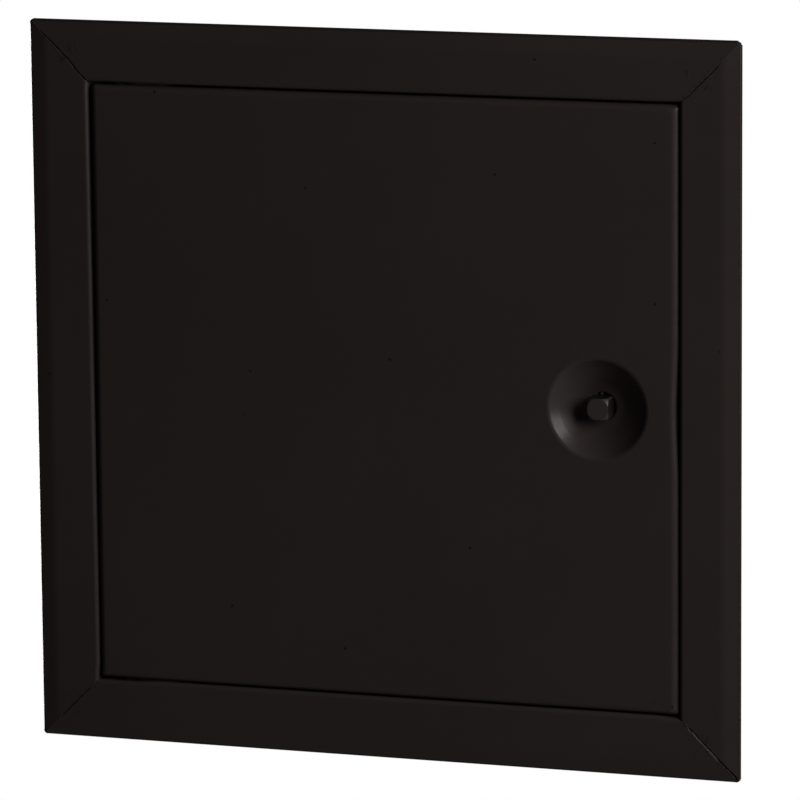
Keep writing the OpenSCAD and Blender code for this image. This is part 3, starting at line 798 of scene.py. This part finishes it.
# Domed rivets through the side walls and the anchors
def rivets():
    ball_r = (RIVET_HEAD_R ** 2 + RIVET_HEAD_H ** 2) / (2 * RIVET_HEAD_H)
    sweep = asin(RIVET_HEAD_R / ball_r)
    steps = 8
    dome = [(ball_r * sin(sweep * k / steps), ball_r * (1 - cos(sweep * k / steps)) - RIVET_HEAD_H)
            for k in range(steps + 1)]
    grip = SHEET + ANCHOR_T
    far_dome = [(r, grip - y) for r, y in reversed(dome)]
    bm = turned(dome + [(RIVET_R, 0), (RIVET_R, grip)] + far_dome, (0, 0, 0), 40)
    place = Matrix.Translation((HALF_OPENING, HOLES_Y, RIVET_Z)) @ Matrix.Rotation(-pi / 2, 4, "Z")
    bmesh.ops.transform(bm, matrix=place, verts=bm.verts[:])
    for axis in ("Z", "X"):
        bmesh.ops.mirror(bm, geom=whole(bm), matrix=Matrix.Identity(4), axis=axis)
    bmesh.ops.recalc_face_normals(bm, faces=bm.faces[:])
    return bm


fit(rivets(), "domed_rivets", "frame", spring_steel, ["anchor_rivets"])


# Spot welds: shallow round prints with a raised rim
SPOT_PRINT = [(0, 0.03), (1.3, 0.03), (1.55, 0.10), (1.8, 0.12), (2.05, 0.08), (2.3, -0.05), (0, -0.05)]
BRIDGE_FEET = [(x, z) for x in (-8, 8) for z in (-34, 34)]
STOP_SPOT_Y, WALL_FACE = 13.6, 99
STOP_SPOTS = [-65, -25, 15, 55, 90]
LATCH_SPOTS = [-80, -40, 0, 40, 80]
GUSSET_SPOTS = [(107.6, 78), (107.6, 92), (78, 107.6), (92, 107.6)]


def spot_welds(places):
    """Each place is a point on the sheet, in millimetres, and the way that the sheet's outer side looks"""
    bm = turned([(r * MM, h * MM) for r, h in SPOT_PRINT], (0, 0, 0), 24)
    first = whole(bm)
    for point, normal in places:
        turn = Vector((0, 1, 0)).rotation_difference(Vector(normal)).to_matrix().to_4x4()
        made = bmesh.ops.duplicate(bm, geom=first)["geom"]
        bmesh.ops.transform(bm, matrix=Matrix.Translation(Vector(point) * MM) @ turn,
                            verts=only(bmesh.types.BMVert, made))
    bmesh.ops.delete(bm, geom=only(bmesh.types.BMVert, first), context="VERTS")
    bmesh.ops.recalc_face_normals(bm, faces=bm.faces[:])
    return bm


bridge_spots = [((LOCK_X / MM + x, -0.3, z), (0, 1, 0)) for x, z in BRIDGE_FEET]
stop_spots = [((x, STOP_SPOT_Y, side * WALL_FACE), (0, 0, -side)) for side in (-1, 1) for x in STOP_SPOTS]
stop_spots += [((WALL_FACE, STOP_SPOT_Y, z), (-1, 0, 0)) for z in LATCH_SPOTS]
gusset_spots = [((x_side * x, -1, z_side * z), (0, 1, 0))
                for x_side in (-1, 1) for z_side in (-1, 1) for x, z in GUSSET_SPOTS]
fit(spot_welds(bridge_spots), "bridge_spot_welds", "leaf", inside_paint, [])
fit(spot_welds(stop_spots + gusset_spots), "frame_spot_welds", "frame", inside_paint, [])


# Pieces that keep the shape of their solids, with edges eased by a width in millimetres
EASED = [
    ("frame", inside_paint, 0.12, ["gusset_top_left", "gusset_top_right",
                                   "gusset_bottom_left", "gusset_bottom_right"]),
    ("frame", inside_paint, 0.15, ["stop_strip_top", "stop_strip_bottom", "stop_strip_latch"]),
    ("frame", galvanised, 0.15, ["wall_anchor_upper_left", "wall_anchor_lower_left",
                                 "wall_anchor_upper_right", "wall_anchor_lower_right"]),
    ("frame", zinc_plate, 0.12, ["hinge_pin_top", "hinge_pin_bottom"]),
    ("leaf", black_nylon, 0.08, ["hinge_washer_top"]),
    ("frame", black_nylon, 0.08, ["hinge_washer_bottom"]),
    ("leaf", inside_paint, 0.2, ["lock_bridge"]),
    ("leaf", spring_steel, 0.08, ["cone_spring"]),
    ("cam", yellow_zinc, 0.2, ["lock_cam"]),
    ("cam", zinc_plate, 0.15, ["cam_washer", "cam_nut"]),
]
for body, finish, ease, nodes in EASED:
    for node in nodes:
        fit(copy_of(node), "fitted_" + node, body, finish, [node], ease=ease * MM)


# Stage, light and camera
FLOOR_R = 1.5
FLOOR_Z = -0.62
DIM_ROOM = 0.07


def stage_floor():
    """A white disc that melts into the background at its rim; its rear half also shows in metal and glass"""
    bm = bmesh.new()
    bmesh.ops.create_circle(bm, cap_ends=True, segments=96, radius=FLOOR_R,
                            matrix=Matrix.Translation((0, 0, FLOOR_Z)))
    mesh = bpy.data.meshes.new("floor")
    bm.to_mesh(mesh)
    bm.free()
    finish = Finish("floor_white", "", Base_Color=(0.35, 0.35, 0.35, 1), Roughness=0.9,
                    Emission_Color=(1, 1, 1, 1))
    out = finish.add("ShaderNodeVectorMath", {0: finish.place}, operation="LENGTH").outputs["Value"]
    glow = finish.ranged(out, 0.45 * FLOOR_R, 0.95 * FLOOR_R, 0.8, 1)
    behind = finish.ranged(finish.coordinates()[1], 0.05, 0.5, 0, 1)
    seen = finish.rays_seen(behind)
    mesh.materials.append(finish.set(Emission_Strength=finish.maths("MULTIPLY", glow, seen)))
    floor = bpy.data.objects.new("floor", mesh)
    bpy.context.scene.collection.objects.link(floor)


def studio_world():
    """White to the camera and through glass, and a dim room to the rays that the dark paint mirrors"""
    world = bpy.data.worlds.new("studio")
    bpy.context.scene.world = world
    world.use_nodes = True
    nodes, links = world.node_tree.nodes, world.node_tree.links
    sky = nodes["Background"]
    sky.inputs["Color"].default_value = (1, 1, 1, 1)
    path = nodes.new("ShaderNodeLightPath")
    seen = nodes.new("ShaderNodeMath")
    seen.operation = "MAXIMUM"
    mix = nodes.new("ShaderNodeMix")
    mix.inputs["A"].default_value = DIM_ROOM
    mix.inputs["B"].default_value = 1
    links.new(path.outputs["Is Camera Ray"], seen.inputs[0])
    links.new(path.outputs["Is Transmission Ray"], seen.inputs[1])
    links.new(seen.outputs[0], mix.inputs["Factor"])
    links.new(mix.outputs[0], sky.inputs["Strength"])


def lamp(name, direction, distance, width, height, power):
    data = bpy.data.lights.new(name, "AREA")
    data.shape = "RECTANGLE"
    data.size, data.size_y, data.energy = width, height, power
    light = bpy.data.objects.new(name, data)
    light.rotation_mode = "QUATERNION"
    light.location = Vector(direction).normalized() * distance
    light.rotation_quaternion = (-light.location).to_track_quat("-Z", "Y")
    light.visible_camera = False
    bpy.context.scene.collection.objects.link(light)


def photo_camera():
    """The photograph's view, from the right and a little above, through a long lens"""
    azimuth, elevation, roll, distance = radians(18.17), radians(10.67), radians(-0.5), 1.934
    look = Vector((-sin(azimuth) * cos(elevation), cos(azimuth) * cos(elevation), -sin(elevation)))
    level = Vector((cos(azimuth), sin(azimuth), 0))
    plumb = look.cross(level)
    right = cos(roll) * level - sin(roll) * plumb
    down = sin(roll) * level + cos(roll) * plumb
    data = bpy.data.cameras.new("photo_camera")
    data.lens, data.sensor_width = 269.0, 36
    data.clip_start, data.clip_end = 0.1, 20
    camera = bpy.data.objects.new("photo_camera", data)
    turn = Matrix((right, -down, -look)).transposed().to_4x4()
    target = Vector((5.44 * MM, FRONT, -1.01 * MM)) + right * 0.94 * MM - down * 0.76 * MM
    camera.matrix_world = Matrix.Translation(target - look * distance) @ turn
    bpy.context.scene.collection.objects.link(camera)
    bpy.context.scene.camera = camera


stage_floor()
studio_world()
lamp("softbox", direction=(0.877, -0.337, 0.342), distance=1.25, width=0.84, height=0.62, power=32)
lamp("rear_softbox", direction=(-0.75, 0.62, -0.08), distance=1.6, width=0.9, height=0.6, power=34)
photo_camera()
bpy.context.scene.view_settings.view_transform = "Standard"
